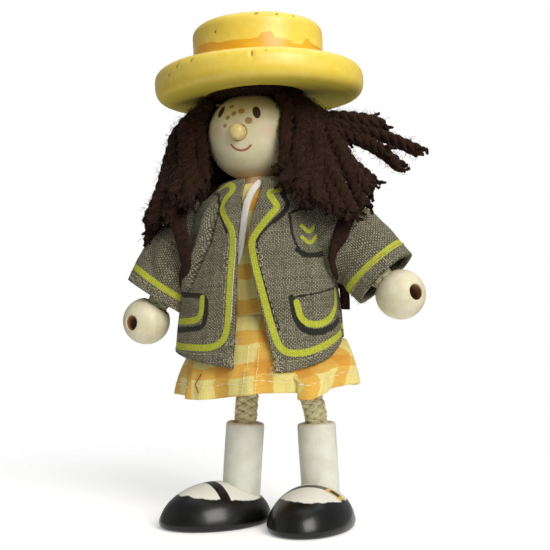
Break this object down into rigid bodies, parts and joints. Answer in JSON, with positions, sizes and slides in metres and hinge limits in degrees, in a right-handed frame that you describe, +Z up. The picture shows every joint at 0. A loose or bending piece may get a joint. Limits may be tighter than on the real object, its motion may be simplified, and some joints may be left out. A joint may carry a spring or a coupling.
{
  "type": "jointed_wooden_figure",
  "caption": "Small standing wooden doll with rope limbs, drilled bead hands, yarn hair, a round yellow hat, a short jacket over a checked dress and a felt satchel on its back",
  "frame": {"origin": "the middle of the figure's bounding box on the surface that the soles stand on", "axes": "+X the figure's left, -Y its front, +Z up"},
  "size_m": [0.072, 0.0492, 0.1168],
  "materials": {
    "bare_wood": "smooth turned beech, no finish",
    "face_paint": "smooth satin cream wood with a painted face",
    "nose_paint": "smooth satin pale yellow wood",
    "hat_paint": "semi-gloss yellow paint on turned wood",
    "hand_wood": "smooth satin pale wood bead",
    "white_paint": "satin white paint on a dowel",
    "shoe_paint": "gloss black and white paint on wood",
    "cotton_rope": "natural cotton, braided",
    "wire": "soft annealed bending wire",
    "yarn": "thick twisted dark brown yarn",
    "jacket_cloth": "coarse plain weave, printed trim",
    "dress_cloth": "thin woven cotton check",
    "edging": "white cotton edging",
    "felt": "pressed brown felt"
  },
  "bodies": {
    "torso": {"torso_block": "bare_wood", "neck_peg": "bare_wood", "arm_rope_middle": "cotton_rope", "arm_wire_middle": "wire", "jacket_front_right": "jacket_cloth", "jacket_front_left": "jacket_cloth", "jacket_back": "jacket_cloth", "dress_bodice": "dress_cloth", "dress_skirt_right": "dress_cloth", "dress_skirt_left": "dress_cloth", "dress_neckline": "edging", "satchel_bag": "felt", "satchel_flap": "felt", "satchel_strap_right": "felt", "satchel_strap_left": "felt"},
    "head": {"head_ball": "face_paint", "nose_peg": "nose_paint", "hat": "hat_paint", "hat_peg": "bare_wood", "hair_right": "yarn", "hair_left": "yarn", "hair_back": "yarn"},
    "shoulder_right": {"arm_rope_upper_right": "cotton_rope", "arm_wire_upper_right": "wire"},
    "arm_right": {"arm_rope_lower_right": "cotton_rope", "arm_wire_lower_right": "wire", "sleeve_right": "jacket_cloth", "hand_right": "hand_wood"},
    "shoulder_left": {"arm_rope_upper_left": "cotton_rope", "arm_wire_upper_left": "wire"},
    "arm_left": {"arm_rope_lower_left": "cotton_rope", "arm_wire_lower_left": "wire", "sleeve_left": "jacket_cloth", "hand_left": "hand_wood"},
    "thigh_right": {"leg_rope_upper_right": "cotton_rope", "leg_wire_upper_right": "wire"},
    "shin_right": {"leg_rope_lower_right": "cotton_rope", "leg_wire_lower_right": "wire"},
    "foot_right": {"leg_tube_right": "white_paint", "shoe_right": "shoe_paint"},
    "thigh_left": {"leg_rope_upper_left": "cotton_rope", "leg_wire_upper_left": "wire"},
    "shin_left": {"leg_rope_lower_left": "cotton_rope", "leg_wire_lower_left": "wire"},
    "foot_left": {"leg_tube_left": "white_paint", "shoe_left": "shoe_paint"}
  },
  "joints": [
    {"name": "neck_turn", "type": "hinge", "parent": "torso", "child": "head", "pos_m": [-0.00467, 0.00015, 0.08661], "axis": [-0.0924, 0, 0.9957], "range_deg": [-60, 60], "deforming": ["hair_right", "hair_left", "hair_back"]},
    {"name": "shoulder_swing_right", "type": "hinge", "parent": "torso", "child": "shoulder_right", "pos_m": [-0.01547, 0.00015, 0.06773], "axis": [-0.9957, 0, -0.0924], "range_deg": [-35, 60], "deforming": ["arm_rope_upper_right", "arm_wire_upper_right", "satchel_strap_right"]},
    {"name": "arm_raise_right", "type": "hinge", "parent": "shoulder_right", "child": "arm_right", "pos_m": [-0.01815, -0.00009, 0.06576], "axis": [0, 1, 0], "range_deg": [-2, 40], "deforming": ["arm_rope_lower_right", "arm_wire_lower_right", "sleeve_right"]},
    {"name": "shoulder_swing_left", "type": "hinge", "parent": "torso", "child": "shoulder_left", "pos_m": [0.00942, 0.00015, 0.07004], "axis": [-0.9957, 0, -0.0924], "range_deg": [-35, 60], "deforming": ["arm_rope_upper_left", "arm_wire_upper_left", "satchel_strap_left"]},
    {"name": "arm_raise_left", "type": "hinge", "parent": "shoulder_left", "child": "arm_left", "pos_m": [0.01213, -0.00002, 0.06886], "axis": [0, -1, 0], "range_deg": [-16, 35], "deforming": ["arm_rope_lower_left", "arm_wire_lower_left", "sleeve_left"]},
    {"name": "hip_swing_right", "type": "hinge", "parent": "torso", "child": "thigh_right", "pos_m": [-0.00602, 0.00015, 0.04049], "axis": [-1, 0, 0], "range_deg": [-35, 60], "deforming": ["leg_rope_upper_right", "leg_wire_upper_right", "dress_skirt_right"]},
    {"name": "leg_spread_right", "type": "hinge", "parent": "thigh_right", "child": "shin_right", "pos_m": [-0.00608, 0.0008, 0.032], "axis": [0, 1, 0], "range_deg": [0, 22], "deforming": ["leg_rope_lower_right", "leg_wire_lower_right"]},
    {"name": "foot_turn_right", "type": "hinge", "parent": "shin_right", "child": "foot_right", "pos_m": [-0.00809, 0.00145, 0.003], "axis": [-0.0628, 0, -0.998], "range_deg": [-18, 27]},
    {"name": "hip_swing_left", "type": "hinge", "parent": "torso", "child": "thigh_left", "pos_m": [0.00513, 0.00015, 0.04152], "axis": [-1, 0, 0], "range_deg": [-35, 60], "deforming": ["leg_rope_upper_left", "leg_wire_upper_left", "dress_skirt_left"]},
    {"name": "leg_spread_left", "type": "hinge", "parent": "thigh_left", "child": "shin_left", "pos_m": [0.00734, 0.0026, 0.03252], "axis": [0, -1, 0], "range_deg": [0, 22], "deforming": ["leg_rope_lower_left", "leg_wire_lower_left"]},
    {"name": "foot_turn_left", "type": "hinge", "parent": "shin_left", "child": "foot_left", "pos_m": [0.01071, 0.00505, 0.003], "axis": [-0.0628, 0, 0.998], "range_deg": [-4, 45]}
  ]
}
